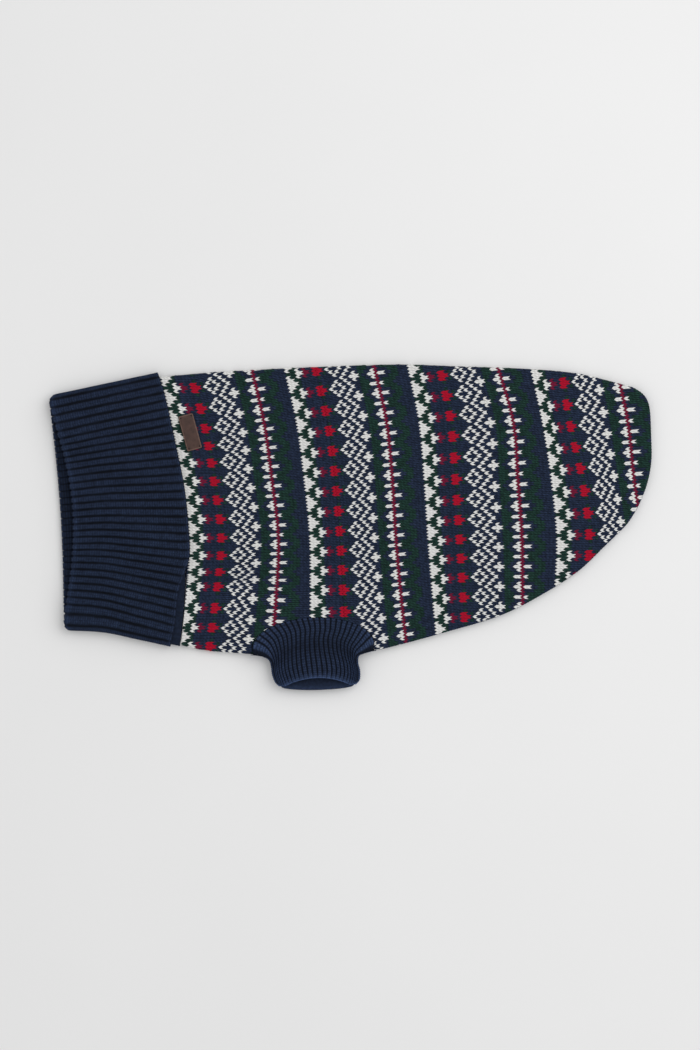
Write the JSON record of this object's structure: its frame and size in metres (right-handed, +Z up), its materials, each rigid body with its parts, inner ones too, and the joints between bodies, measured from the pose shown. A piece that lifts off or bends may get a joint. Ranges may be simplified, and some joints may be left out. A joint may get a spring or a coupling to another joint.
{
  "type": "dog sweater",
  "caption": "Knitted dog sweater laid flat on its side: striped patterned jersey body, folded-over rib collar, rib leg cuffs and a bare leather label, to keep a dog warm.",
  "frame": {"origin": "bottom centre of the laid garment's bounding box, on the surface it lies on", "axes": "+X from the neck to the tail, +Y from the belly to the back fold, +Z up through the two layers"},
  "size_m": [0.5182, 0.2799, 0.011],
  "materials": {
    "body": "patterned jersey knit in navy, dark green, off-white and red yarn",
    "collar": "navy rib knit",
    "leg_cuff_near": "navy rib knit",
    "leg_cuff_far": "navy rib knit",
    "label": "smooth brown leather, bare"
  },
  "bodies": {
    "root": {"body": "body", "collar": "collar", "leg_cuff_near": "leg_cuff_near", "leg_cuff_far": "leg_cuff_far", "label": "label"}
  },
  "joints": []
}
